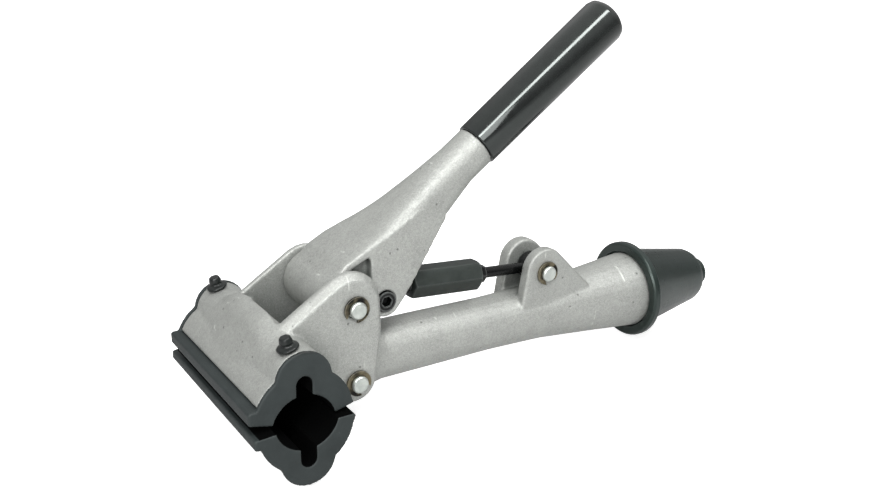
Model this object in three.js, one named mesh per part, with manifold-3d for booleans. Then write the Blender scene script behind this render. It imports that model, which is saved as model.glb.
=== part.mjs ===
// Repair-stand linkage clamp: a fixed lower jaw, tube and rear lugs cast in one piece, an upper jaw that
// swings on it, a hand lever pinned to the upper jaw, and a screw link from the lever to the rear lugs.
// Millimetres, +Z up. The tube runs along +X, the pins along Y. Everything is drawn about the jaw hinge, on
// the tube's axis, and the whole clamp is then set down with the bottom centre of its box at the origin.
import * as THREE from "three";
import { mergeVertices } from "three/addons/utils/BufferGeometryUtils.js";
import Module from "manifold-3d";

const wasm = await Module();
wasm.setup();

// ---- Driving dimensions -------------------------------------------------------------------------------

// Pivots, as [x, z] in the plane of the linkage, with the lever just past dead centre.
const jawHinge = [0, 0];
const leverPivot = [0, 39.5];
const linkPivot = [21.5, 36.2];
const rearPivot = [130.2, 28];

const gap = 0.3; // between pieces that touch or slide on the real tool
const clear = 90; // far enough each way from the jaw hinge for a cut to run right through a piece
const armHalfWidth = 31; // outer faces of the upper jaw's two arms
const armSpan = [-armHalfWidth, armHalfWidth];
const slotHalfWidth = 23.5; // inner faces of the same arms
const coreHalfWidth = 22.4; // pieces that sit between the arms
const slotFront = { x: -38.4, floor: 33.6 }; // the step at the slot's front, above the lever's swing

// Each jaw is a trough with a round lobe along its back. The upper jaw rests tilted open by a little.
const mouthX = -40;
const tilt = 2.2;
// nubLean is how far its nubs lean from upright, in degrees round the lobe towards the mouth's front.
const upper = {
  halfLength: 52.4,
  wallRadius: 24.6,
  lobeZ: 19.4,
  lobeRadius: 13.7,
  lipSeat: 9.2,
  nubLean: 17,
};
const lower = {
  halfLength: 55.9,
  wallRadius: 23.4,
  lobeZ: 17.3,
  lobeRadius: 13.3,
  lipSeat: 6.7,
  nubLean: -35,
};
const castWall = 4.6;
const endPlate = { thickness: 2.3, proud: 0.5 }; // proud of the casting's outline
const backLipSeat = 5;
const coverBack = -13; // the casting covers the back lip up to here
const boreRadius = 16.2;
const boreOffset = 4; // the bore's centre lies this far past the parting plane, on the other jaw's side
const grooveHalfWidth = 4;
const grooveDepth = 21.6;
const nubY = 46;
const nub = {
  stemRadius: 2.7,
  collarRadius: 5.6,
  collarHeight: 2,
  neckRadius: 2.5,
  knobRadius: 3.5,
  knobHeight: 4.4,
};

const pinRadius = 4.5;
const pinChamfer = 0.8;
const pinOverhang = 3.7;
const ring = { radius: 6.8, thickness: 1.2, groove: 0.9, mouthWidth: 6 };

const tubeEnd = 202;
const tubeEndRadius = 22.9;
const tubeProfile = [
  [8, 15.9],
  [55, 15.6],
  [95, 15.2],
  [131, 16.1],
  [164, 19.1],
  [tubeEnd, tubeEndRadius],
];
// The far rear lug stands a little further out than the near one.
const lug = { near: [-13, -5.8], far: [8, 16.4], radius: 13, rise: 1 };
const spigot = { start: 15, end: 12, length: 46 };
const flange = { front: 200, thickness: 6.2, radius: 29.3 };
const taper = { start: 24.2, end: 16.9, endX: 250, tipX: 256 };
const cap = { radius: 9, length: 8.4, wall: 1.7 };
const bolt = { radius: 4, headCorner: 6.6, headHeight: 4.2 };
const washer = { radius: 6.9, thickness: 1.2 };

const leverAngle = 35.9;
const neckRadius = 11.7;
const grip = { start: 110.5, end: 219, radius: 12.5, endRadius: 13.1, bore: 9.3 };
const hub = { x: 0.3, z: 1.1, radius: 14.9 };
const earInner = 13;
const earRadius = 8.6;
// The link screw's head and its nut sit in seats in the ears, and both stand proud of them by a little.
const screw = { shank: 3, headRadius: 5.3, headHeight: 3.6, proud: 0.7, socketRadius: 2.9, socketDepth: 2.4 };
const screwNut = { corner: 5.6, height: 4.6 };

const hexCorner = 9;
const barrelStart = 25; // along the link, from the lever's link pin
const barrelEnd = 69.5;
const barrelSpigot = 3.4; // radius of the front eye's spigot, which the barrel turns on
const rodRadius = 3.1;
const adjustTravel = 2; // how far the screw link lengthens or shortens each way
const eye = { rearRadius: 8, halfThickness: 5.2 };

// ---- Solids --------------------------------------------------------------------------------------------

// A closed three.js geometry as a manifold solid.
function solid(geometry) {
  const bare = geometry.index ? geometry.toNonIndexed() : geometry.clone();
  const position = new THREE.BufferGeometry().setAttribute("position", bare.getAttribute("position"));
  const merged = mergeVertices(position, 1e-4);
  return new wasm.Manifold(
    new wasm.Mesh({
      numProp: 3,
      vertProperties: new Float32Array(merged.attributes.position.array),
      triVerts: new Uint32Array(merged.index.array),
    }),
  );
}

const join = (first, ...others) => others.reduce((sum, other) => sum.add(other), first);
const cut = (first, ...others) => others.reduce((rest, other) => rest.subtract(other), first);

// A manifold solid as a three.js geometry, with flat faces shaded flat and slivers merged away.
function geometryOf(shape) {
  const mesh = shape.simplify(0.04).getMesh();
  const geometry = new THREE.BufferGeometry();
  geometry.setAttribute("position", new THREE.BufferAttribute(Float32Array.from(mesh.vertProperties), 3));
  geometry.setIndex(new THREE.BufferAttribute(Uint32Array.from(mesh.triVerts), 1));
  const flat = geometry.toNonIndexed();
  flat.computeVertexNormals();
  return flat;
}

// A box between two corners.
function block([x0, y0, z0], [x1, y1, z1]) {
  const box = new THREE.BoxGeometry(x1 - x0, y1 - y0, z1 - z0);
  return solid(box.translate((x0 + x1) / 2, (y0 + y1) / 2, (z0 + z1) / 2));
}

// A cylinder along Y through [x, z].
function crossPin([x, z], radius, y0, y1, sides = 28) {
  const cylinder = new THREE.CylinderGeometry(radius, radius, y1 - y0, sides);
  return solid(cylinder.translate(x, (y0 + y1) / 2, z));
}

// A cylinder along Y through [x, z] that reaches past both sides of every piece.
const throughPin = (centre, radius, sides) => crossPin(centre, radius, -clear, clear, sides);

// The convex outline round a set of circles, each [x, z, radius].
function hullOutline(circles, step = 15) {
  const points = [];
  for (const [x, z, radius] of circles) {
    for (let angle = 0; angle < 360; angle += step) {
      const turn = THREE.MathUtils.degToRad(angle);
      points.push([x + radius * Math.cos(turn), z + radius * Math.sin(turn)]);
    }
  }
  points.sort((a, b) => a[0] - b[0] || a[1] - b[1]);
  const side = (ordered) => {
    const chain = [];
    for (const p of ordered) {
      while (chain.length > 1) {
        const [a, b] = chain.slice(-2);
        if ((b[0] - a[0]) * (p[1] - a[1]) - (b[1] - a[1]) * (p[0] - a[0]) > 1e-6) break;
        chain.pop();
      }
      chain.push(p);
    }
    return chain.slice(0, -1);
  };
  return [...side(points), ...side(points.slice().reverse())];
}

// An XZ outline as a plate between two Y planes. bevel, if given, rounds both faces' edges inwards.
function plate(outline, y0, y1, bevel) {
  const shape = new THREE.Shape(outline.map(([x, z]) => new THREE.Vector2(x, z)));
  const inset = bevel ? bevel.depth : 0;
  const geometry = new THREE.ExtrudeGeometry(shape, {
    depth: y1 - y0 - 2 * inset,
    bevelEnabled: Boolean(bevel),
    bevelThickness: inset,
    bevelSize: bevel ? bevel.size : 0,
    bevelOffset: bevel ? -bevel.size : 0,
    bevelSegments: bevel ? bevel.steps : 1,
  });
  return solid(geometry.rotateX(Math.PI / 2).translate(0, y1 - inset, 0));
}

// A profile of [x, radius] pairs turned about the X axis. It starts and ends on the axis.
function turned(profile, sides = 28) {
  const points = profile.map(([x, radius]) => new THREE.Vector2(radius, x));
  return solid(new THREE.LatheGeometry(points, sides).rotateZ(-Math.PI / 2));
}

// A closed skin through rings of points, each ring given the same number of points.
function loft(rings) {
  const count = rings[0].length;
  const triangles = [];
  for (let r = 0; r < rings.length - 1; r++) {
    for (let i = 0; i < count; i++) {
      const j = (i + 1) % count;
      const [a, b, c, d] = [rings[r][i], rings[r][j], rings[r + 1][i], rings[r + 1][j]];
      triangles.push(a, b, c, b, d, c);
    }
  }
  for (const [ring, flip] of [[rings[0], true], [rings[rings.length - 1], false]]) {
    for (let i = 1; i < count - 1; i++) {
      triangles.push(ring[0], ...(flip ? [ring[i + 1], ring[i]] : [ring[i], ring[i + 1]]));
    }
  }
  return solid(new THREE.BufferGeometry().setFromPoints(triangles));
}

// A superellipse of points across the YZ plane at x, between two heights. It is an ellipse at squareness 2,
// and its lower half may have a squareness of its own.
function section(x, halfWidth, top, bottom, squareness, lowerSquareness = squareness) {
  const count = 28;
  const points = [];
  for (let i = 0; i < count; i++) {
    const turn = (2 * Math.PI * (i + 0.5)) / count;
    const power = 2 / (Math.sin(turn) > 0 ? squareness : lowerSquareness);
    const bulge = (value) => Math.sign(value) * Math.abs(value) ** power;
    const z = (top + bottom + (top - bottom) * bulge(Math.sin(turn))) / 2;
    points.push(new THREE.Vector3(x, halfWidth * bulge(Math.cos(turn)), z));
  }
  return points;
}

// A hexagonal bar along X with chamfered ends and a corner on each side.
function hexBar(x0, x1, corner, chamfer) {
  const flat = corner * Math.cos(Math.PI / 6);
  const bar = new THREE.CylinderGeometry(corner, corner, x1 - x0, 6);
  bar.rotateZ(Math.PI / 2).rotateX(Math.PI / 2);
  const rounded = turned([
    [x0, 0],
    [x0, flat - chamfer],
    [x0 + chamfer, corner],
    [x1 - chamfer, corner],
    [x1, flat - chamfer],
    [x1, 0],
  ]);
  return solid(bar.translate((x0 + x1) / 2, 0, 0)).intersect(rounded);
}

// ---- Group and materials -------------------------------------------------------------------------------

const clamp = new THREE.Group();
clamp.name = "linkage_clamp";

const finishes = {
  casting: { color: 0xb4b5b1, roughness: 0.5, metalness: 0.85 },
  rubber: { color: 0x3e4444, roughness: 0.85, metalness: 0 },
  gloss: { color: 0x0b0d0c, roughness: 0.12, metalness: 0 },
  nylon: { color: 0x3a4140, roughness: 0.5, metalness: 0 },
  blackSteel: { color: 0x2b3030, roughness: 0.45, metalness: 0.7 },
  zinc: { color: 0xdfe4df, roughness: 0.25, metalness: 1 },
};

// Adds a named piece to a group.
function add(group, name, shape, finish) {
  const mesh = new THREE.Mesh(geometryOf(shape), new THREE.MeshStandardMaterial(finishes[finish]));
  mesh.name = name;
  group.add(mesh);
}

// ---- Jaws and their covers -----------------------------------------------------------------------------

// Both jaws are made as an upper one, with the parting plane at z = 0. flipped() turns the lower one over.
const flipped = (shape) => shape.rotate([180, 0, 0]);
const tilted = (shape) => shape.rotate([0, tilt, 0]);

// The wall and lobe outline of a jaw, shrunk by inset, as a solid along Y.
function jawForm(jaw, inset, y0, y1) {
  const wall = crossPin([mouthX, 0], jaw.wallRadius - inset, y0, y1, 44);
  const lobe = crossPin([mouthX, jaw.lobeZ], jaw.lobeRadius - inset, y0, y1, 32);
  return wall.add(lobe);
}

// Everything under a height, between two places along the tool.
const below = (z, x0 = -clear, x1 = clear) => block([x0, -clear, -clear], [x1, clear, z]);

// A shape turned about a jaw's lobe, radius outwards along +Z, leaned over to where a nub stands.
function leaned(jaw, lathe, y) {
  lathe.rotateX(Math.PI / 2).rotateY(-THREE.MathUtils.degToRad(jaw.nubLean));
  return solid(lathe.translate(mouthX, y, jaw.lobeZ));
}

// The trough that holds a cover, open downwards, with a hole in its lobe for each nub.
function jawShell(jaw, outerForm) {
  const nubHoles = [-nubY, nubY].map((y) => {
    const hole = new THREE.CylinderGeometry(nub.stemRadius + gap, nub.stemRadius + gap, 14, 16);
    return leaned(jaw, hole.translate(0, jaw.lobeRadius - 2, 0), y);
  });
  return cut(
    outerForm,
    jawForm(jaw, castWall, -clear, clear),
    below(jaw.lipSeat, -clear, mouthX),
    below(backLipSeat, mouthX - 1, coverBack),
    ...nubHoles,
  );
}

// The bore and groove that the clamped tube sits in.
function boreForm() {
  const grooveCentre = grooveDepth - grooveHalfWidth;
  const bore = throughPin([mouthX, -boreOffset], boreRadius, 44);
  const groove = block(
    [mouthX - grooveHalfWidth, -clear, 0],
    [mouthX + grooveHalfWidth, clear, grooveCentre],
  );
  return join(bore, groove, throughPin([mouthX, grooveCentre], grooveHalfWidth, 16));
}

// One knob that pulls through the casting and holds the cover in.
function nubForm(jaw, y) {
  const root = jaw.lobeRadius - castWall - 2;
  const base = jaw.lobeRadius + gap;
  const top = base + nub.collarHeight;
  const points = [
    [0, root],
    [nub.stemRadius, root],
    [nub.stemRadius, base],
    [nub.collarRadius, base],
    [nub.collarRadius, top - 0.7],
    [nub.neckRadius, top + 0.4],
    [nub.knobRadius, top + 1.6],
    [nub.knobRadius - 0.8, top + nub.knobHeight],
    [0, top + nub.knobHeight],
  ];
  const lathe = new THREE.LatheGeometry(points.map(([r, z]) => new THREE.Vector2(r, z)), 16);
  return leaned(jaw, lathe, y);
}

// A rubber cover: liner, end plates, a lip under the casting's front edge and one under its back edge, and
// two nubs. The lips' meeting faces slope apart from parting by frontRise and backRise.
function coverForm(jaw, frontRise, backRise) {
  const halfLength = jaw.halfLength + gap + endPlate.thickness;
  const front = mouthX - jaw.wallRadius;
  const back = mouthX + jaw.wallRadius;
  const parting = 0.4;
  const liner = jawForm(jaw, castWall + gap, -halfLength, halfLength);
  const endPlates = [-halfLength, halfLength - endPlate.thickness].map((y) =>
    jawForm(jaw, -endPlate.proud, y, y + endPlate.thickness),
  );
  const frontLip = plate(
    [
      [mouthX - 15, parting],
      [mouthX - 15, jaw.lipSeat - gap],
      [front - 1.6, jaw.lipSeat - gap],
      [front - 3, jaw.lipSeat - 1.2],
      [front - 2.6, parting],
    ].reverse(),
    -halfLength,
    halfLength,
  );
  const backLip = plate(
    [
      [mouthX + 15, parting],
      [back + 0.9, parting],
      [back + 1.4, 1.6],
      [back + 0.2, backLipSeat - gap],
      [mouthX + 15, backLipSeat - gap],
    ],
    -halfLength,
    halfLength,
  );
  const slopes = [
    [front - 4, frontRise, mouthX - 17],
    [back + 2, backRise, mouthX + 17],
  ].map(([edge, rise, inner]) => {
    const outline = hullOutline([
      [edge, rise, 0.001],
      [edge, -4, 0.001],
      [inner, -4, 0.001],
      [inner, parting, 0.001],
    ]);
    return plate(outline, -clear, clear);
  });
  const covered = join(liner, ...endPlates, frontLip, backLip);
  return join(cut(covered, below(parting), boreForm(), ...slopes), nubForm(jaw, -nubY), nubForm(jaw, nubY));
}

// ---- Body ----------------------------------------------------------------------------------------------

const boltStart = tubeEnd + 18;
const boltHole = (start) =>
  turned([
    [start, 0],
    [start, bolt.radius + gap],
    [taper.tipX + 5, bolt.radius + gap],
    [taper.tipX + 5, 0],
  ]);

// The tube, its flared end and the spigot inside the taper.
function tubeForm() {
  const spigotEnd = tubeEnd + spigot.length;
  return turned([
    [tubeProfile[0][0], 0],
    ...tubeProfile,
    [tubeEnd, spigot.start],
    [spigotEnd, spigot.end],
    [spigotEnd, 0],
  ]);
}

// The two lugs that hold the link's rear pin.
function lugForm() {
  const outline = hullOutline([
    [rearPivot[0], rearPivot[1] + lug.rise, lug.radius],
    [116.5, 6, 3.5],
    [160, 11, 4],
  ]);
  const bevel = { depth: 0.9, size: 0.8, steps: 1 };
  return join(plate(outline, ...lug.near, bevel), plate(outline, ...lug.far, bevel));
}

// The neck that joins the lower jaw to the tube between the upper jaw's arms.
function neckForm() {
  const hinge = crossPin(jawHinge, 11.4, -coreHalfWidth, coreHalfWidth);
  const saddle = loft([
    section(-20, coreHalfWidth, -1.2, -15, 6),
    section(-13, coreHalfWidth, -0.6, -15, 6),
    section(-3, coreHalfWidth, 9, -14, 5),
    section(6, 21, 12, -14.5, 4),
    section(15, 18, 14.6, -15.2, 2.8),
    section(26, 15.7, 15.7, -15.7, 2),
  ]);
  return hinge.add(saddle);
}

function bodyCasting() {
  const shell = flipped(jawShell(lower, jawForm(lower, 0, -lower.halfLength, lower.halfLength)));
  const inside = jawForm(lower, castWall, -clear, clear);
  const trough = flipped(inside.add(below(backLipSeat, mouthX, coverBack - 2)));
  return cut(
    join(shell, neckForm().subtract(trough), tubeForm(), lugForm()),
    throughPin(jawHinge, pinRadius + gap),
    throughPin(rearPivot, pinRadius + gap),
    boltHole(boltStart - 2),
  );
}

// ---- Pins and their retaining rings --------------------------------------------------------------------

// A round pin with chamfered ends and a groove near each end for a ring.
function pinForm(centre, halfSpan) {
  const end = halfSpan + pinOverhang;
  const ringStart = halfSpan + 0.25;
  const ringEnd = ringStart + ring.thickness + 0.2;
  const half = [
    [end, 0],
    [end, pinRadius - pinChamfer],
    [end - pinChamfer, pinRadius],
    [ringEnd, pinRadius],
    [ringEnd, pinRadius - ring.groove],
    [ringStart, pinRadius - ring.groove],
    [ringStart, pinRadius],
  ];
  const mirrored = half.map(([y, r]) => [-y, r]);
  const points = [...mirrored, ...half.reverse()].map(([y, r]) => new THREE.Vector2(r, y));
  return solid(new THREE.LatheGeometry(points, 20).translate(centre[0], 0, centre[1]));
}

// A spring ring with a mouth, seated in the pin's groove on one side of the tool.
function ringForm(centre, halfSpan, side, openTowards) {
  const inner = pinRadius - ring.groove + gap;
  const start = halfSpan + gap;
  const y0 = side > 0 ? start : -start - ring.thickness;
  const disc = crossPin(centre, ring.radius, y0, y0 + ring.thickness, 28);
  const hole = throughPin(centre, inner, 20);
  const opening = solid(
    new THREE.BoxGeometry(2 * ring.radius, 2 * clear, ring.mouthWidth)
      .translate(ring.radius, 0, 0)
      .rotateY(THREE.MathUtils.degToRad(-openTowards))
      .translate(centre[0], 0, centre[1]),
  );
  return cut(disc, hole, opening);
}

// A pin across a span of Y, and its two rings, added to a group.
function addPin(group, name, centre, [near, far], openTowards) {
  const halfSpan = (far - near) / 2;
  const middle = [0, (far + near) / 2, 0];
  add(group, name + "_pin", pinForm(centre, halfSpan).translate(middle), "zinc");
  for (const [label, side] of [["near", -1], ["far", 1]]) {
    const shape = ringForm(centre, halfSpan, side, openTowards).translate(middle);
    add(group, `${name}_ring_${label}`, shape, "blackSteel");
  }
}

// ---- Taper at the tube's end ---------------------------------------------------------------------------

function taperSleeve() {
  const back = flange.front + flange.thickness;
  const outer = turned([
    [flange.front, 0],
    [flange.front, flange.radius - 1.2],
    [flange.front + 1.2, flange.radius],
    [back - 1.8, flange.radius],
    [back, flange.radius - 1.8],
    [back, taper.start + 0.8],
    [back + 1, taper.start],
    [taper.endX, taper.end],
    [taper.endX + 3.6, taper.end - 1.8],
    [taper.tipX, cap.radius + 1.5],
    [taper.tipX, 0],
  ], 44);
  const spigotEnd = tubeEnd + spigot.length;
  const socket = turned([
    [flange.front - 5, 0],
    [flange.front - 5, tubeEndRadius + 0.8],
    [tubeEnd + gap, tubeEndRadius + 0.8],
    [tubeEnd + gap, spigot.start + gap],
    [spigotEnd + gap, spigot.end + gap],
    [spigotEnd + gap, 0],
  ]);
  return cut(outer, socket, boltHole(spigotEnd - 2));
}

function taperWasher() {
  const start = taper.tipX + gap;
  const end = start + washer.thickness;
  const bore = bolt.radius + gap;
  return turned([
    [start, bore],
    [start, washer.radius],
    [end, washer.radius],
    [end, bore],
    [start, bore],
  ], 20);
}

function taperBolt() {
  const head = taper.tipX + washer.thickness + 2 * gap;
  const shank = turned([
    [boltStart, 0],
    [boltStart, bolt.radius],
    [head + 0.5, bolt.radius],
    [head + 0.5, 0],
  ], 16);
  return hexBar(head, head + bolt.headHeight, bolt.headCorner, 0.4).add(shank);
}

function taperCap() {
  const start = taper.tipX + gap;
  const end = taper.tipX + cap.length;
  const outer = turned([
    [start, 0],
    [start, cap.radius],
    [end - 2, cap.radius - 0.3],
    [end, cap.radius - 2.8],
    [end, 0],
  ]);
  const hollow = turned([
    [start - 1, 0],
    [start - 1, cap.radius - cap.wall],
    [end - cap.wall, cap.radius - cap.wall],
    [end - cap.wall, 0],
  ]);
  return outer.subtract(hollow);
}

// ---- Upper jaw -----------------------------------------------------------------------------------------

// Both arms in one block across the tool, before the slot between them is cut.
function armBlock() {
  const outline = hullOutline([
    [leverPivot[0] - 1.5, leverPivot[1] + 1.1, 17],
    [3, 25, 13],
    [...jawHinge, 12.4],
    [mouthX + 3, 21.3, 14.2],
  ]);
  return plate(outline, -armHalfWidth, armHalfWidth, { depth: 4.4, size: 3.3, steps: 1 });
}

// Between the arms the wall runs straight up into the lobe, which swells up to the slot's front rim and dies
// away just past the arms. Each ring is the hull of the wall's circle and the lobe's, found as the one that
// reaches further each way.
function swellingForm() {
  const span = armHalfWidth + 9;
  const full = 12;
  const steps = 20;
  const sides = 40;
  const rings = [];
  for (let step = 0; step <= steps; step++) {
    const y = span * ((2 * step) / steps - 1);
    const rise = 1 - THREE.MathUtils.smoothstep(Math.abs(y), full, span);
    const wall = { x: mouthX, z: 0, radius: upper.wallRadius - 5 * (1 - rise) };
    const lobe = { x: mouthX + 3 * rise, z: upper.lobeZ + 6.5 * rise, radius: upper.lobeRadius + 0.8 * rise };
    const ring = [];
    for (let i = 0; i < sides; i++) {
      const turn = (2 * Math.PI * i) / sides;
      const [across, up] = [Math.sin(turn), Math.cos(turn)];
      const reach = ({ x, z, radius }) => x * across + z * up + radius;
      const { x, z, radius } = reach(lobe) > reach(wall) ? lobe : wall;
      ring.push(new THREE.Vector3(x + radius * across, y, z + radius * up));
    }
    rings.push(ring);
  }
  return loft(rings);
}

function upperJawCasting() {
  const swingRadius = 33.4;
  const slot = join(
    crossPin(leverPivot, swingRadius, -slotHalfWidth, slotHalfWidth, 44),
    crossPin(jawHinge, 13.4, -slotHalfWidth, slotHalfWidth),
    block([-12, -slotHalfWidth, -clear], [clear, slotHalfWidth, clear]),
    block([slotFront.x, -slotHalfWidth, slotFront.floor], [0, slotHalfWidth, clear]),
  );
  const lobeTop = upper.lobeZ + upper.lobeRadius;
  const betweenArms = block([-clear, -slotHalfWidth, lobeTop], [-20, slotHalfWidth, clear]);
  const mouthForm = tilted(jawForm(upper, 0, -upper.halfLength, upper.halfLength));
  const outside = join(armBlock().subtract(betweenArms), swellingForm(), mouthForm);
  const shell = tilted(jawShell(upper, outside.rotate([0, -tilt, 0])));
  return cut(
    shell,
    slot,
    below(0.9, -clear, -11.9),
    throughPin(jawHinge, pinRadius + gap),
    throughPin(leverPivot, pinRadius + gap),
  );
}

// ---- Lever ---------------------------------------------------------------------------------------------

// The lever is made along +X from its pivot and then turned up to leverAngle.
const placed = (shape) => shape.rotate([0, -leverAngle, 0]).translate([leverPivot[0], 0, leverPivot[1]]);
const headFace = -coreHalfWidth - screw.proud;
const nutFace = coreHalfWidth + screw.proud;
const turnBack = THREE.MathUtils.degToRad(-leverAngle);
const linkPivotOnLever = new THREE.Vector2(linkPivot[0] - leverPivot[0], linkPivot[1] - leverPivot[1])
  .rotateAround(new THREE.Vector2(0, 0), turnBack)
  .toArray();

// The crown over the link, which narrows and rounds off into the neck. Each row is a section's place along
// the lever, half width, top, bottom, and the squareness of its upper and lower half.
const crownSections = [
  [-6, 22, 14.4, 8, 5, 5],
  [0, coreHalfWidth, 15.9, 10, 5, 5],
  [11, coreHalfWidth, 17, 11.6, 5, 5],
  [22, 22.2, 15.7, 9.2, 4.6, 4.6],
  [32, 21, 14.3, 3.4, 4, 4.4],
  [42, 19.2, 13.2, -7, 3.8, 5],
  [48, 18.1, 12.8, -10.6, 3.5, 5.6],
  [54, 17, 12.5, -12.2, 3.2, 5.6],
  [60, 15.9, 12.3, -12.3, 3, 5],
  [67, 14.8, 12.1, -12.2, 2.8, 4.4],
  [75, 13.6, 12, -12.1, 2.5, 3.6],
  [83, 12.6, 11.9, -11.9, 2.3, 2.9],
  [95, neckRadius, neckRadius, -neckRadius, 2, 2],
  [grip.start - gap, neckRadius, neckRadius, -neckRadius, 2, 2],
];

// The two ears, whose outer faces narrow with the crown.
function earForms() {
  const outline = hullOutline([
    [...linkPivotOnLever, earRadius],
    [28, 7, 5],
    [45, -7.2, 6.6],
    [66, -4, 7],
  ]);
  const pair = [-coreHalfWidth, earInner].map((y) =>
    plate(outline, y, y + coreHalfWidth - earInner, { depth: 0.9, size: 0.8, steps: 1 }),
  );
  const narrowing = loft(crownSections.map(([x, halfWidth]) => section(x, halfWidth, clear, -clear, 16)));
  return join(...pair).intersect(narrowing);
}

function leverCasting() {
  const hubForm = crossPin([hub.x, hub.z], hub.radius, -coreHalfWidth, coreHalfWidth, 40);
  const web = plate(
    hullOutline([
      [0, 0, 12],
      [34, 6, 6],
    ]),
    -16.5,
    16.5,
  );
  const crown = loft(crownSections.map((row) => section(...row)));
  const linkRoom = crossPin(linkPivotOnLever, 14.2, -earInner, earInner, 36);
  const headDepth = headFace + screw.headHeight + gap;
  const nutDepth = nutFace - screwNut.height - gap;
  const headSeat = crossPin(linkPivotOnLever, screw.headRadius + gap, -clear, headDepth, 24);
  const nutSeat = crossPin(linkPivotOnLever, screwNut.corner + gap, nutDepth, clear, 6);
  const tang = turned([
    [grip.start - 4, 0],
    [grip.start - 4, grip.bore - gap],
    [grip.end - 14, grip.bore - gap],
    [grip.end - 11, grip.bore - 3],
    [grip.end - 11, 0],
  ]);
  return placed(
    cut(
      join(hubForm, web, crown, earForms(), tang),
      linkRoom,
      headSeat,
      nutSeat,
      throughPin([0, 0], pinRadius + gap),
      throughPin(linkPivotOnLever, screw.shank + gap),
    ),
  );
}

function leverGrip() {
  const { start, end, radius, endRadius, bore } = grip;
  const outer = turned([
    [start, 0],
    [start, radius - 0.5],
    [start + 0.6, radius],
    [end - 6, endRadius],
    [end - 3, endRadius - 0.9],
    [end - 1, endRadius - 3.4],
    [end, endRadius - 7.5],
    [end, 0],
  ], 40);
  const hollow = turned([
    [start - 2, 0],
    [start - 2, bore],
    [end - 13.6, bore],
    [end - 10.4, bore - 3],
    [end - 10.4, 0],
  ]);
  return placed(outer.subtract(hollow));
}

// The socket screw that carries the link in the lever's ears.
function linkScrew() {
  const seat = headFace + screw.headHeight;
  const head = crossPin(linkPivotOnLever, screw.headRadius, headFace, seat, 24);
  const shank = crossPin(linkPivotOnLever, screw.shank, seat - 0.5, nutFace, 16);
  const socketEnd = headFace + screw.socketDepth;
  const socket = crossPin(linkPivotOnLever, screw.socketRadius, headFace - 1, socketEnd, 6);
  return placed(head.add(shank).subtract(socket));
}

function linkScrewNut() {
  const nut = crossPin(linkPivotOnLever, screwNut.corner, nutFace - screwNut.height, nutFace, 6);
  return placed(nut.subtract(throughPin(linkPivotOnLever, screw.shank + gap, 16)));
}

// ---- Screw link ----------------------------------------------------------------------------------------

const linkRun = new THREE.Vector2(rearPivot[0] - linkPivot[0], rearPivot[1] - linkPivot[1]);
const linkLength = linkRun.length();
const linkSlope = THREE.MathUtils.radToDeg(linkRun.angle());
// The link is made along +X from the lever's pin and then turned onto the line between its two pins.
const onLink = (shape) => shape.rotate([0, -linkSlope, 0]).translate([linkPivot[0], 0, linkPivot[1]]);

// The rod with the rear eye. Its front end runs in the barrel's thread.
function linkRod() {
  const { rearRadius, halfThickness } = eye;
  const rear = crossPin([linkLength, 0], rearRadius, -halfThickness, halfThickness, 28);
  const rod = turned([
    [barrelStart + 12, 0],
    [barrelStart + 12, rodRadius],
    [linkLength - 5, rodRadius],
    [linkLength - 5, 0],
  ], 20);
  return onLink(join(rear, rod).subtract(throughPin([linkLength, 0], pinRadius + gap)));
}

// The front eye. Its window leaves room for the pin wherever the lever carries it.
function linkHead() {
  const room = screw.shank + 0.6;
  const wall = 2.6;
  const reach = [
    [-adjustTravel, 0],
    [adjustTravel, 0],
    [adjustTravel + 4.2, 3.9],
    [3.2 - adjustTravel, 3.9],
  ];
  const window = reach.map(([x, z]) => [x, z, room]);
  const outside = reach.map(([x, z]) => [x, z, room + wall]);
  const halfWidth = earInner - 0.8;
  const frontEye = plate(hullOutline(outside), -halfWidth, halfWidth, { depth: 0.8, size: 0.7, steps: 1 });
  const shank = turned([
    [4, 0],
    [4, 6.2],
    [barrelStart - 5, 6.2],
    [barrelStart - gap, 5.6],
    [barrelStart - gap, barrelSpigot],
    [barrelStart + 6, barrelSpigot],
    [barrelStart + 6, 0],
  ], 20);
  return onLink(join(frontEye, shank).subtract(plate(hullOutline(window), -clear, clear)));
}

// The hexagonal barrel that the rod screws into, turning on the front eye's spigot.
function adjusterBarrel() {
  const bore = turned([
    [barrelStart - 1, 0],
    [barrelStart - 1, barrelSpigot + gap],
    [barrelEnd + 1, barrelSpigot + gap],
    [barrelEnd + 1, 0],
  ], 20);
  return onLink(hexBar(barrelStart, barrelEnd, hexCorner, 1.3).subtract(bore));
}

function lockNut() {
  const start = barrelEnd + gap;
  const nut = hexBar(start, start + 4, 5.3, 0.5);
  const hole = turned([
    [start - 1, 0],
    [start - 1, rodRadius + gap],
    [start + 6, rodRadius + gap],
    [start + 6, 0],
  ], 20);
  return onLink(nut.subtract(hole));
}

// ---- Assembly ------------------------------------------------------------------------------------------

const body = new THREE.Group();
const upperJaw = new THREE.Group();
const lever = new THREE.Group();
const link = new THREE.Group();
clamp.add(body, upperJaw, lever, link);

add(body, "body_casting", bodyCasting(), "casting");
add(body, "lower_jaw_cover", flipped(coverForm(lower, 1.2, 0.4)), "rubber");
addPin(body, "jaw_hinge", jawHinge, armSpan, -50);
addPin(body, "rear", rearPivot, [lug.near[0], lug.far[1]], -70);
add(body, "taper_sleeve", taperSleeve(), "nylon");
add(body, "taper_washer", taperWasher(), "zinc");
add(body, "taper_bolt", taperBolt(), "zinc");
add(body, "taper_cap", taperCap(), "nylon");

add(upperJaw, "upper_jaw_casting", upperJawCasting(), "casting");
add(upperJaw, "upper_jaw_cover", tilted(coverForm(upper, 2.8, 3.4)), "rubber");
addPin(upperJaw, "lever_pivot", leverPivot, armSpan, -120);

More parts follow.
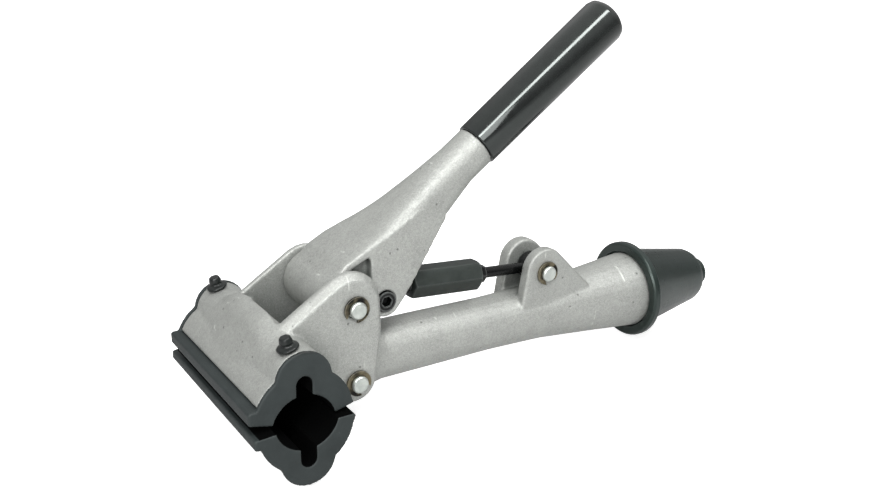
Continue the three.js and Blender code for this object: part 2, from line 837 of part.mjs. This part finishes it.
add(lever, "lever_casting", leverCasting(), "casting");
add(lever, "lever_grip", leverGrip(), "gloss");
add(lever, "link_screw", linkScrew(), "blackSteel");
add(lever, "link_screw_nut", linkScrewNut(), "blackSteel");

add(link, "link_rod", linkRod(), "blackSteel");
add(link, "link_head", linkHead(), "blackSteel");
add(link, "adjuster_barrel", adjusterBarrel(), "blackSteel");
add(link, "lock_nut", lockNut(), "blackSteel");

const box = new THREE.Box3().setFromObject(clamp);
const middle = box.getCenter(new THREE.Vector3());
for (const part of clamp.children) part.position.set(-middle.x, -middle.y, -box.min.z);

export default clamp;
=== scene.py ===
"""Finishes, edges, floor, light and camera for the linkage clamp.

Every visible piece is a CAD node of the frame. A node gets a finish, and modifiers that ease its edges.
Lengths are in metres and powers in watts.
"""

import bpy
from mathutils import Matrix, Vector


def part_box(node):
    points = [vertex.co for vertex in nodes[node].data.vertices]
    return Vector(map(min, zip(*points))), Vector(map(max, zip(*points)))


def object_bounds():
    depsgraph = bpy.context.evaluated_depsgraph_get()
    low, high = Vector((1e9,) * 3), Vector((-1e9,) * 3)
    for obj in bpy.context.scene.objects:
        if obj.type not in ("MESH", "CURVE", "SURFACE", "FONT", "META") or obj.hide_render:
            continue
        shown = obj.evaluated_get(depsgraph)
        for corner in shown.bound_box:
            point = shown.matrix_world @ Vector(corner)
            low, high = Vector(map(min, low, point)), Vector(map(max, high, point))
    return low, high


MM = 0.001

# The size of the even skin that softens a piece, and how many times it is then smoothed.
CASTING_VOXEL = 0.8 * MM
CASTING_SMOOTHING = 5
COVER_VOXEL = 0.6 * MM
COVER_SMOOTHING = 3

# Edges that turn by more than this many radians are rounded. The grip takes the larger one, which leaves
# the rings of its domed end alone.
CORNER = 0.6
GRIP_CORNER = 0.9
FLAT_ENOUGH = 0.02  # radians between two faces that count as one plane
WELD_REACH = 0.005 * MM

HINGE_TO_MOUTH = 40 * MM
BORE_REACH = 23.5 * MM  # from the mouth's middle to past the bottom of either groove
NUB_REACH = 33.5 * MM  # and to the foot of the nubs

# From the jaw hinge. The lens is for a sensor 36 mm wide.
CAMERA_PLACE = Vector((-0.2109, -0.4495, 0.2296))
CAMERA_AIM = Vector((0.0858, 0.0358, 0.0387))
CAMERA_LENS = 42.75
SENSOR_WIDTH = 36

# A long strip over the grip, which draws the bright line along it and along the lever's neck. Its place
# is from a point on the grip's line, this far back from the grip's middle.
STRIP_BACK = 0.35
STRIP_PLACE = Vector((-0.098, -0.588, 0.802))
STRIP_SIZE = (1.9, 0.16)
STRIP_POWER = 16

# A box in front, from the clamp's middle, for the faces that the ceiling misses.
FRONT_PLACE = Vector((-0.85, -1.1, 0.4))
FRONT_SIZE = (0.6, 0.6)
FRONT_POWER = 6

# How bright the studio is at its walls and at its ceiling, and where one turns into the other, as the
# upward part of the direction.
WALL_GLOW = 0.32
CEILING_GLOW = 0.98
WALL_TOP = 0.15
CEILING_EDGE = 0.75

FLOOR_HALF = 12.0
FLOOR_SEEN = (0.90, 0.93)  # the range of its tone to the camera
FLOOR_GLOW = 0.62  # added to that, so that the pale floor runs into the background
FLOOR_BOUNCE = 0.60  # its tone to everything else

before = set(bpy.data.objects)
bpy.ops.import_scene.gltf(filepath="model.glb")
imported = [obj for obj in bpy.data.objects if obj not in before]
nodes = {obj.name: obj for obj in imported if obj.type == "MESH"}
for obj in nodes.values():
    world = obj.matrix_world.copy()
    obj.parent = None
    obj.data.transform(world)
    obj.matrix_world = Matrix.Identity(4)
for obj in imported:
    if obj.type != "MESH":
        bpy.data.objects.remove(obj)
cad_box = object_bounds()


def centre(node):
    low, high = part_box(node)
    return (low + high) / 2


JAW_HINGE = centre("jaw_hinge_pin")
MOUTH = JAW_HINGE - Vector((HINGE_TO_MOUTH, 0, 0))
GRIP = centre("lever_grip")
GRIP_AXIS = (GRIP - centre("lever_pivot_pin")).normalized()


# ---- Shader building ----


class Shader:
    """A material's node tree, with a short call for each kind of node that the finishes use."""

    def __init__(self, name):
        self.material = bpy.data.materials.new(name)
        self.material.use_nodes = True
        self.tree = self.material.node_tree
        self.tree.nodes.clear()
        self.surface = self.add("ShaderNodeBsdfPrincipled")
        output = self.add("ShaderNodeOutputMaterial")
        self.tree.links.new(self.surface.outputs["BSDF"], output.inputs["Surface"])
        self.place = self.add("ShaderNodeTexCoord").outputs["Object"]

    def put(self, socket, value):
        if isinstance(value, bpy.types.NodeSocket):
            self.tree.links.new(value, socket)
        else:
            socket.default_value = value

    def add(self, kind, inputs=None, **settings):
        node = self.tree.nodes.new(kind)
        for key, value in settings.items():
            setattr(node, key, value)
        for key, value in (inputs or {}).items():
            self.put(node.inputs[key], value)
        return node

    def set(self, **inputs):
        for key, value in inputs.items():
            self.put(self.surface.inputs[key.replace("_", " ")], value)

    def stretched(self, x, y, z):
        scaled = self.add("ShaderNodeMapping", {"Vector": self.place, "Scale": (x, y, z)})
        return scaled.outputs["Vector"]

    def noise(self, size, detail=3.0, roughness=0.55, place=None):
        inputs = {
            "Vector": place or self.place,
            "Scale": 1 / size,
            "Detail": detail,
            "Roughness": roughness,
        }
        return self.add("ShaderNodeTexNoise", inputs).outputs[0]

    def cells(self, size):
        inputs = {"Vector": self.place, "Scale": 1 / size}
        return self.add("ShaderNodeTexVoronoi", inputs).outputs["Distance"]

    def spread(self, value, low, high, to_low=0.0, to_high=1.0):
        inputs = {
            "Value": value,
            "From Min": low,
            "From Max": high,
            "To Min": to_low,
            "To Max": to_high,
        }
        return self.add("ShaderNodeMapRange", inputs).outputs["Result"]

    def maths(self, operation, first, second=0.0):
        return self.add("ShaderNodeMath", {0: first, 1: second}, operation=operation).outputs[0]

    def mix(self, factor, first, second):
        # Several of this node's sockets share a name, so they go by place: 0 is the factor, 6 and 7 the
        # colours, and 2 the resulting colour.
        node = self.add("ShaderNodeMix", {0: factor, 6: first, 7: second}, data_type="RGBA")
        return node.outputs[2]

    def bump(self, height, depth, strength=1.0, under=None):
        inputs = {"Height": height, "Distance": depth, "Strength": strength}
        if under:
            inputs["Normal"] = under
        return self.add("ShaderNodeBump", inputs).outputs["Normal"]

    def openness(self, reach, **settings):
        inputs = {"Distance": reach}
        return self.add("ShaderNodeAmbientOcclusion", inputs, only_local=True, **settings).outputs["AO"]

    def rims(self, reach):
        """1 on convex edges and 0 on open faces."""
        return self.spread(self.openness(reach, inside=True), 0.55, 0.95, 1.0, 0.0)

    def hollows(self, reach):
        """1 deep in corners and 0 on open faces."""
        return self.spread(self.openness(reach), 0.25, 0.85, 1.0, 0.0)


def rgb(red, green, blue):
    return (red, green, blue, 1.0)


def grey(level):
    return rgb(level, level, level)


def tint(level):
    """The castings' grey, which leans a little to olive."""
    return rgb(level * 1.01, level * 1.035, level * 0.98)


# ---- Finishes ----


def cast_aluminium():
    """Sand-cast and tumbled: a satin grain with patches, pits and scuffs, and painted shade in its
    creases and hollows.
    """
    s = Shader("cast_aluminium")
    patches = s.noise(16 * MM, 3.0)
    mottle = s.noise(3.4 * MM, 4.0, 0.6)
    coarse = s.noise(1.3 * MM, 4.0, 0.7)
    fine = s.noise(0.45 * MM, 2.0, 0.6)
    pits = s.spread(s.cells(9 * MM), 0.045, 0.09, 1.0, 0.0)
    drawn = s.noise(2.6 * MM, 2.0, 0.4, s.stretched(1.0, 0.22, 0.12))
    scuffs = s.maths("MULTIPLY", s.spread(drawn, 0.70, 0.74), s.spread(patches, 0.50, 0.56))
    colour = s.mix(s.spread(patches, 0.35, 0.65), tint(0.290), tint(0.330))
    colour = s.mix(s.spread(mottle, 0.3, 0.7, 0.0, 0.4), colour, tint(0.40))
    colour = s.mix(s.spread(coarse, 0.42, 0.66, 0.0, 0.24), colour, tint(0.12))
    colour = s.mix(s.spread(fine, 0.54, 0.68, 0.0, 0.42), colour, tint(0.60))
    # Painted shade: darker in small creases, and broadly darker in deep hollows and recesses.
    colour = s.mix(s.hollows(5 * MM), colour, s.mix(0.5, colour, tint(0.06)))
    colour = s.mix(s.hollows(60 * MM), colour, s.mix(0.55, colour, rgb(0.05, 0.062, 0.055)))
    colour = s.mix(s.maths("MULTIPLY", pits, 0.6), colour, tint(0.06))
    colour = s.mix(s.maths("MULTIPLY", scuffs, 0.4), colour, tint(0.80))
    normal = s.bump(mottle, 0.45 * MM, 0.25)
    normal = s.bump(coarse, 0.30 * MM, 0.75, normal)
    normal = s.bump(fine, 0.14 * MM, 0.8, normal)
    normal = s.bump(pits, -0.3 * MM, 0.8, normal)
    s.set(
        Base_Color=colour,
        Metallic=0.55,
        Roughness=s.spread(coarse, 0.3, 0.7, 0.44, 0.60),
        Normal=normal,
    )
    return s.material


def mouth_reach(s):
    """How far a point lies from the line through the middle of the jaws' mouth."""
    about = s.add("ShaderNodeVectorMath", {0: s.place, 1: -MOUTH}, operation="ADD").outputs["Vector"]
    parts = s.add("ShaderNodeSeparateXYZ", {"Vector": about}).outputs
    flat = s.add("ShaderNodeCombineXYZ", {"X": parts["X"], "Z": parts["Z"]}).outputs["Vector"]
    return s.add("ShaderNodeVectorMath", {0: flat}, operation="LENGTH").outputs["Value"]


def bore_shade_mask(s, reach):
    """Where the bore's painted shade goes: 1 on the walls of the jaws' bore and its grooves, and 0 on a
    cover's end faces and its outside.
    """
    facing = s.add("ShaderNodeTexCoord").outputs["Normal"]
    along = s.maths("ABSOLUTE", s.add("ShaderNodeSeparateXYZ", {"Vector": facing}).outputs["Y"])
    return s.maths(
        "MULTIPLY",
        s.spread(reach, BORE_REACH, BORE_REACH + 0.6 * MM, 1.0, 0.0),
        s.spread(along, 0.35, 0.6, 1.0, 0.0),
    )


def cover_rubber():
    """Moulded rubber, paler on its edges, with painted shade that makes the bore black, and darker and
    glossier on the nubs.
    """
    s = Shader("cover_rubber")
    bloom = s.noise(11 * MM, 4.0, 0.6)
    grain = s.noise(0.5 * MM, 2.0)
    dust = s.noise(1.8 * MM, 5.0, 0.7)
    colour = s.mix(s.spread(bloom, 0.3, 0.7), rgb(0.012, 0.0165, 0.0165), rgb(0.018, 0.0235, 0.0235))
    colour = s.mix(s.spread(dust, 0.62, 0.78, 0.0, 0.35), colour, rgb(0.038, 0.046, 0.045))
    colour = s.mix(s.maths("MULTIPLY", s.rims(1.2 * MM), 0.4), colour, rgb(0.050, 0.058, 0.056))
    reach = mouth_reach(s)
    on_nubs = s.spread(reach, NUB_REACH, NUB_REACH + 1.5 * MM)
    colour = s.mix(on_nubs, colour, rgb(0.005, 0.0068, 0.0062))
    # Painted shade: the bore's walls and grooves are made near black and dull, for the shade deep inside
    # the jaws.
    inside = bore_shade_mask(s, reach)
    colour = s.mix(inside, colour, rgb(0.0006, 0.0007, 0.0007))
    normal = s.bump(dust, 0.14 * MM, 0.45)
    normal = s.bump(grain, 0.07 * MM, 0.5, normal)
    s.set(
        Base_Color=colour,
        Specular_IOR_Level=s.spread(inside, 0.0, 1.0, 0.35, 0.04),
        Roughness=s.maths("MAXIMUM", s.spread(on_nubs, 0.0, 1.0, 0.64, 0.36), inside),
        Normal=normal,
    )
    return s.material


def grip_vinyl():
    """Dipped vinyl: glossy, with a slow ripple and a little haze and lint."""
    s = Shader("grip_vinyl")
    ripple = s.noise(14 * MM, 2.0, 0.4)
    haze = s.noise(5 * MM, 4.0, 0.65)
    lint = s.noise(0.9 * MM, 2.0, 0.6)
    colour = s.mix(s.spread(haze, 0.3, 0.8), rgb(0.0035, 0.004, 0.004), rgb(0.008, 0.0095, 0.009))
    colour = s.mix(s.spread(lint, 0.70, 0.76, 0.0, 0.5), colour, rgb(0.03, 0.034, 0.032))
    normal = s.bump(ripple, 0.9 * MM, 0.04)
    s.set(
        Base_Color=colour,
        Specular_IOR_Level=0.65,
        Specular_Tint=rgb(0.93, 1.0, 0.97),
        Roughness=s.spread(haze, 0.3, 0.75, 0.08, 0.17),
        Normal=s.bump(haze, 0.15 * MM, 0.06, normal),
    )
    return s.material


def taper_nylon():
    """Moulded nylon, with faint drag marks along the draw and paler edges."""
    s = Shader("taper_nylon")
    cloud = s.noise(13 * MM, 4.0, 0.6)
    drag = s.noise(1.2 * MM, 3.0, 0.6, s.stretched(1.0, 0.18, 0.18))
    grain = s.noise(0.45 * MM, 2.0)
    colour = s.mix(s.spread(cloud, 0.3, 0.7), rgb(0.005, 0.0085, 0.0075), rgb(0.009, 0.014, 0.0125))
    colour = s.mix(s.spread(drag, 0.60, 0.75, 0.0, 0.15), colour, rgb(0.035, 0.042, 0.039))
    colour = s.mix(s.maths("MULTIPLY", s.rims(1.5 * MM), 0.3), colour, rgb(0.06, 0.07, 0.065))
    normal = s.bump(drag, 0.05 * MM, 0.15)
    s.set(
        Base_Color=colour,
        Roughness=s.spread(drag, 0.3, 0.7, 0.27, 0.35),
        Normal=s.bump(grain, 0.04 * MM, 0.3, normal),
        Specular_Tint=rgb(0.86, 1.0, 0.94),
    )
    return s.material


def black_steel(name, dark, light, worn, roughness):
    """Blackened steel drawn along X, with painted shade that dulls its sockets to black, and worn to a
    lighter line on its edges.
    """
    s = Shader(name)
    cloud = s.noise(7 * MM, 4.0, 0.65)
    drawn = s.noise(0.8 * MM, 3.0, 0.6, s.stretched(0.12, 1.0, 1.0))
    colour = s.mix(s.spread(cloud, 0.3, 0.7), dark, light)
    colour = s.mix(s.spread(drawn, 0.58, 0.75, 0.0, 0.35), colour, worn)
    colour = s.mix(s.maths("MULTIPLY", s.rims(1.2 * MM), 0.7), colour, rgb(0.14, 0.15, 0.145))
    # Painted shade: the reflection is turned down deep in sockets and corners, so that they read black.
    socket_shade = s.hollows(4 * MM)
    s.set(
        Base_Color=colour,
        Metallic=s.spread(socket_shade, 0.0, 0.6, 0.3, 0.0),
        Specular_IOR_Level=s.spread(socket_shade, 0.0, 0.6, 0.32, 0.02),
        Roughness=s.spread(cloud, 0.3, 0.7, roughness, roughness + 0.14),
        Normal=s.bump(drawn, 0.06 * MM, 0.35),
    )
    return s.material


def ring_steel():
    """Spring steel, part blackened and part straw-coloured."""
    s = Shader("ring_steel")
    cloud = s.noise(7 * MM, 3.0, 0.55)
    grain = s.noise(0.4 * MM, 2.0)
    colour = s.mix(s.spread(cloud, 0.42, 0.60), rgb(0.012, 0.012, 0.011), rgb(0.15, 0.130, 0.085))
    colour = s.mix(s.maths("MULTIPLY", s.rims(0.5 * MM), 0.5), colour, rgb(0.36, 0.34, 0.28))
    s.set(
        Base_Color=colour,
        Metallic=0.9,
        Roughness=s.spread(cloud, 0.3, 0.7, 0.30, 0.45),
        Normal=s.bump(grain, 0.04 * MM, 0.3),
    )
    return s.material


def zinc_plate():
    """Bright zinc plate with turning marks and a cloudy bloom."""
    s = Shader("zinc_plate")
    bloom = s.noise(2.6 * MM, 4.0, 0.6)
    turned = s.noise(0.5 * MM, 2.0, 0.5, s.stretched(1.0, 0.2, 1.0))
    colour = s.mix(s.spread(bloom, 0.3, 0.7), rgb(0.40, 0.43, 0.405), rgb(0.55, 0.58, 0.545))
    colour = s.mix(s.maths("MULTIPLY", s.rims(0.5 * MM), 0.3), colour, rgb(0.75, 0.76, 0.73))
    s.set(
        Base_Color=colour,
        Metallic=0.8,
        Roughness=s.spread(turned, 0.3, 0.7, 0.30, 0.46),
        Normal=s.bump(turned, 0.04 * MM, 0.35),
    )
    return s.material


# ---- Shapes ----


def paint(name, material):
    """Gives a CAD node this finish and no other."""
    mesh = nodes[name].data
    mesh.materials.clear()
    mesh.materials.append(material)


def soften(name, voxel, smoothing):
    """Rounds a CAD node's edges and corners as a mould does: an even skin, then smoothed."""
    skin = nodes[name].modifiers.new("skin", "REMESH")
    skin.mode = "VOXEL"
    skin.voxel_size = voxel
    skin.use_smooth_shade = True
    rounding = nodes[name].modifiers.new("rounding", "SMOOTH")
    rounding.factor = 0.5
    rounding.iterations = smoothing


def weld_group():
    """Geometry nodes that join a CAD mesh's split corners and shade it smooth."""
    group = bpy.data.node_groups.new("weld", "GeometryNodeTree")
    group.interface.new_socket("Geometry", in_out="INPUT", socket_type="NodeSocketGeometry")
    group.interface.new_socket("Geometry", in_out="OUTPUT", socket_type="NodeSocketGeometry")
    entry = group.nodes.new("NodeGroupInput")
    merge = group.nodes.new("GeometryNodeMergeByDistance")
    merge.inputs["Distance"].default_value = WELD_REACH
    bare = group.nodes.new("GeometryNodeRemoveAttribute")
    bare.inputs["Name"].default_value = "custom_normal"
    shade = group.nodes.new("GeometryNodeSetShadeSmooth")
    leave = group.nodes.new("NodeGroupOutput")
    chain = [entry, merge, bare, shade, leave]
    for before, after in zip(chain, chain[1:]):
        group.links.new(before.outputs[0], after.inputs[0])
    return group


WELD = weld_group()


def ease(name, width, corner=CORNER):
    """Breaks a CAD node's sharp edges with a small round."""
    node = nodes[name]
    node.modifiers.new("weld", "NODES").node_group = WELD
    planes = node.modifiers.new("planes", "DECIMATE")
    planes.decimate_type = "DISSOLVE"
    planes.angle_limit = FLAT_ENOUGH
    edges = node.modifiers.new("edges", "BEVEL")
    edges.width = width
    edges.segments = 3
    edges.limit_method = "ANGLE"
    edges.angle_limit = corner
    edges.harden_normals = True
    edges.use_clamp_overlap = True


ALUMINIUM = cast_aluminium()
RUBBER = cover_rubber()
VINYL = grip_vinyl()
NYLON = taper_nylon()
BARREL = black_steel(
    "barrel_steel",
    rgb(0.017, 0.0215, 0.019),
    rgb(0.026, 0.032, 0.029),
    rgb(0.038, 0.044, 0.040),
    0.38,
)
OXIDE = black_steel(
    "oxide_steel",
    rgb(0.0005, 0.0006, 0.0006),
    rgb(0.002, 0.0025, 0.0024),
    rgb(0.006, 0.007, 0.0065),
    0.20,
)
RING = ring_steel()
ZINC = zinc_plate()

for casting in ("body_casting", "upper_jaw_casting", "lever_casting"):
    paint(casting, ALUMINIUM)
    soften(casting, CASTING_VOXEL, CASTING_SMOOTHING)

for cover in ("upper_jaw_cover", "lower_jaw_cover"):
    paint(cover, RUBBER)
    soften(cover, COVER_VOXEL, COVER_SMOOTHING)

paint("lever_grip", VINYL)
ease("lever_grip", 0.4 * MM, GRIP_CORNER)
for moulding in ("taper_sleeve", "taper_cap"):
    paint(moulding, NYLON)
    ease(moulding, 0.4 * MM)
paint("adjuster_barrel", BARREL)
ease("adjuster_barrel", 0.3 * MM)
for steel in ("link_screw", "link_screw_nut", "link_rod", "link_head", "lock_nut"):
    paint(steel, OXIDE)
    ease(steel, 0.25 * MM)
for pin in ("jaw_hinge", "rear", "lever_pivot"):
    paint(pin + "_pin", ZINC)
    ease(pin + "_pin", 0.5 * MM)
    for side in ("near", "far"):
        paint(f"{pin}_ring_{side}", RING)
        ease(f"{pin}_ring_{side}", 0.15 * MM)
for fitting in ("taper_washer", "taper_bolt"):
    paint(fitting, ZINC)
    ease(fitting, 0.2 * MM)


# ---- Floor, light and camera ----


def floor():
    """A pale floor under the clamp. It is brighter to the camera than to the clamp."""
    lowest = cad_box[0][2]
    mesh = bpy.data.meshes.new("floor")
    signs = ((-1, -1), (1, -1), (1, 1), (-1, 1))
    corners = [(x * FLOOR_HALF, y * FLOOR_HALF, lowest) for x, y in signs]
    mesh.from_pydata(corners, [], [(0, 1, 2, 3)])
    made = bpy.data.objects.new("floor", mesh)
    bpy.context.scene.collection.objects.link(made)
    s = Shader("floor_card")
    by_camera = s.add("ShaderNodeLightPath").outputs["Is Camera Ray"]
    tone = s.spread(s.noise(0.4, 2.0), 0.3, 0.7, *FLOOR_SEEN)
    seen = s.add("ShaderNodeCombineColor", {0: tone, 1: tone, 2: tone}).outputs[0]
    s.set(
        Base_Color=s.mix(by_camera, grey(FLOOR_BOUNCE), seen),
        Roughness=0.9,
        Emission_Color=grey(1.0),
        Emission_Strength=s.maths("MULTIPLY", by_camera, FLOOR_GLOW),
    )
    mesh.materials.append(s.material)


def softbox(name, place, aim, size, watts, along=Vector((1, 0, 0))):
    """A lamp at place that faces aim, with its length along the given direction."""
    light = bpy.data.lights.new(name, "AREA")
    light.shape = "RECTANGLE"
    light.size, light.size_y = size
    light.energy = watts
    made = bpy.data.objects.new(name, light)
    back = (place - aim).normalized()
    across = (along - back * back.dot(along)).normalized()
    made.matrix_world = Matrix((across, back.cross(across), back)).transposed().to_4x4()
    made.location = place
    bpy.context.scene.collection.objects.link(made)


def surroundings():
    """A studio whose ceiling glows and whose walls are dim."""
    world = bpy.data.worlds.new("studio")
    world.use_nodes = True
    tree = world.node_tree
    direction = tree.nodes.new("ShaderNodeTexCoord")
    split = tree.nodes.new("ShaderNodeSeparateXYZ")
    rise = tree.nodes.new("ShaderNodeMapRange")
    rise.interpolation_type = "SMOOTHSTEP"
    rise.inputs["From Min"].default_value = WALL_TOP
    rise.inputs["From Max"].default_value = CEILING_EDGE
    rise.inputs["To Min"].default_value = WALL_GLOW
    rise.inputs["To Max"].default_value = CEILING_GLOW
    background = tree.nodes["Background"]
    background.inputs["Color"].default_value = grey(1.0)
    tree.links.new(direction.outputs["Generated"], split.inputs["Vector"])
    tree.links.new(split.outputs["Z"], rise.inputs["Value"])
    tree.links.new(rise.outputs["Result"], background.inputs["Strength"])
    bpy.context.scene.world = world


def camera():
    lens = bpy.data.cameras.new("camera")
    lens.sensor_width = SENSOR_WIDTH
    lens.lens = CAMERA_LENS
    made = bpy.data.objects.new("camera", lens)
    made.location = JAW_HINGE + CAMERA_PLACE
    look = CAMERA_AIM - CAMERA_PLACE
    made.rotation_euler = look.to_track_quat("-Z", "Y").to_euler()
    bpy.context.scene.collection.objects.link(made)
    bpy.context.scene.camera = made


middle = (Vector(cad_box[0]) + Vector(cad_box[1])) / 2
strip_aim = GRIP - STRIP_BACK * GRIP_AXIS
floor()
softbox("strip", strip_aim + STRIP_PLACE, strip_aim, STRIP_SIZE, STRIP_POWER, GRIP_AXIS)
softbox("front", middle + FRONT_PLACE, middle, FRONT_SIZE, FRONT_POWER)
surroundings()
camera()
bpy.context.scene.view_settings.view_transform = "Standard"
